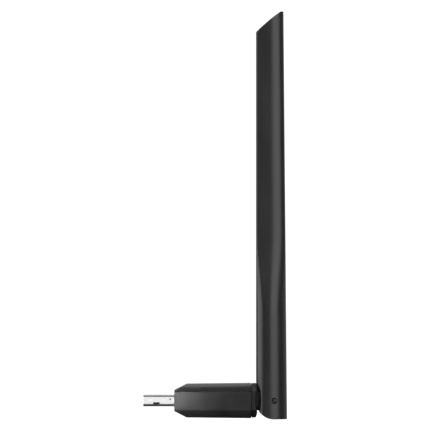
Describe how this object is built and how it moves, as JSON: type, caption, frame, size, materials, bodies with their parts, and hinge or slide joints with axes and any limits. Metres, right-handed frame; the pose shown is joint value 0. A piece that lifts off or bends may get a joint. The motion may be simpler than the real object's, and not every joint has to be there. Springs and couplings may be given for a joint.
{
  "type": "usb wifi adapter",
  "caption": "Black USB wireless adapter: a metal plug on a faceted housing, with a long blade aerial on a swivel and fold hinge.",
  "frame": {"origin": "where the plug's long axis meets the front face of the housing", "axes": "+X from the plug to the aerial along the housing, +Z along the upright aerial, +Y across the width"},
  "size_m": [0.0575, 0.018, 0.1629],
  "materials": {
    "black_plastic": "fine satin moulding, black",
    "plug_steel": "bright nickel plated steel",
    "plug_plastic": "black insulator",
    "gold": "gold flashed contact",
    "board_green": "green solder mask",
    "tin": "tinned sheet",
    "chip_black": "black epoxy",
    "ceramic": "tan ceramic",
    "spring_steel": "ground steel",
    "cable_black": "smooth cable jacket",
    "copper": "bare copper foil",
    "foam": "dark grey open foam",
    "nylon": "natural nylon"
  },
  "bodies": {
    "adapter": {"usb_shell": "plug_steel", "usb_insulator": "plug_plastic", "usb_contact_1": "gold", "usb_contact_2": "gold", "usb_contact_3": "gold", "usb_contact_4": "gold", "housing_top": "black_plastic", "housing_bottom": "black_plastic", "main_board": "board_green", "rf_shield": "tin", "wifi_chip": "chip_black", "crystal": "tin", "power_inductor": "chip_black", "voltage_regulator": "chip_black", "input_capacitor": "ceramic", "coax_jack": "gold", "coax_plug": "gold", "coax_body": "cable_black"},
    "swivel": {"swivel_collar": "black_plastic", "swivel_clip": "spring_steel", "swivel_washer": "nylon", "coax_swivel": "cable_black"},
    "aerial": {"aerial_shell_near": "black_plastic", "aerial_shell_far": "black_plastic", "hinge_pin": "spring_steel", "hinge_washer_near": "nylon", "hinge_washer_far": "nylon", "radiator_board": "board_green", "radiator_lower_arm": "copper", "radiator_upper_arm": "copper", "coax_aerial": "cable_black", "foam_pad_lower": "foam", "foam_pad_upper": "foam"}
  },
  "joints": [
    {"name": "swivel_turn", "type": "hinge", "parent": "adapter", "child": "swivel", "pos_m": [0.0307, 0, 0], "axis": [1, 0, 0], "range_deg": [-90, 90]},
    {"name": "aerial_fold", "type": "hinge", "parent": "swivel", "child": "aerial", "pos_m": [0.0399, 0, 0], "axis": [0, 1, 0], "range_deg": [0, 90]}
  ]
}
